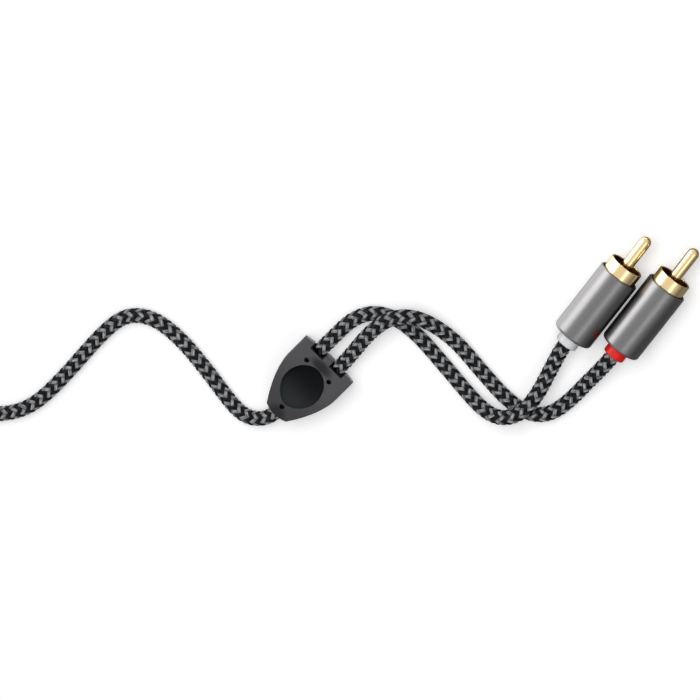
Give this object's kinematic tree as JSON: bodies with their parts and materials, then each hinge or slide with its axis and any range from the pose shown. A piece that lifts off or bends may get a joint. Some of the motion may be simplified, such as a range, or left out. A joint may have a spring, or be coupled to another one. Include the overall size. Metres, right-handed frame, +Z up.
{
  "type": "rca audio cable",
  "caption": "Braided stereo audio cable: two phono plugs with metal shells join at a shield-shaped splitter, and the coiled trunk ends in a small stereo jack plug.",
  "frame": {"origin": "middle of the splitter's underside, on the surface that the cable lies on", "axes": "+Z up from that surface, +X from the coil towards the plugs, +Y across the cable"},
  "size_m": [0.265, 0.061, 0.0113],
  "materials": {
    "gunmetal": "satin, fine turned grain",
    "gold_contact": "polished gold plating",
    "black_plastic": "moulded",
    "grey_plastic": "fine matte mould texture",
    "white_plastic": "moulded, soft gloss",
    "red_plastic": "moulded, soft gloss",
    "braided_cord": "braided sleeve of black and grey yarn",
    "copper_wire": "bare drawn wire",
    "tie_strap": "soft woven strap"
  },
  "bodies": {
    "root": {"white_plug_shell": "gunmetal", "white_plug_collar": "gold_contact", "white_plug_pin": "gold_contact", "white_plug_insulator": "black_plastic", "white_plug_inner_mould": "black_plastic", "white_plug_bush": "white_plastic", "white_plug_signal_wire": "copper_wire", "white_plug_ground_wire": "copper_wire", "red_plug_shell": "gunmetal", "red_plug_collar": "gold_contact", "red_plug_pin": "gold_contact", "red_plug_insulator": "black_plastic", "red_plug_inner_mould": "black_plastic", "red_plug_bush": "red_plastic", "red_plug_signal_wire": "copper_wire", "red_plug_ground_wire": "copper_wire", "splitter_top_shell": "grey_plastic", "splitter_bottom_shell": "grey_plastic", "splitter_core_cradle": "black_plastic", "splitter_left_core": "white_plastic", "splitter_right_core": "red_plastic", "trunk_cord": "braided_cord", "trunk_coil": "braided_cord", "trunk_tail": "braided_cord", "white_branch_cord": "braided_cord", "red_branch_cord": "braided_cord", "coil_tie_1": "tie_strap", "coil_tie_2": "tie_strap", "jack_shell": "gunmetal", "jack_sleeve_contact": "gold_contact", "jack_ring_contact": "gold_contact", "jack_tip_contact": "gold_contact", "jack_tip_insulator": "black_plastic", "jack_ring_insulator": "black_plastic", "jack_inner_mould": "black_plastic", "jack_bush": "grey_plastic", "jack_left_wire": "copper_wire", "jack_right_wire": "copper_wire", "jack_ground_wire": "copper_wire"}
  },
  "joints": []
}
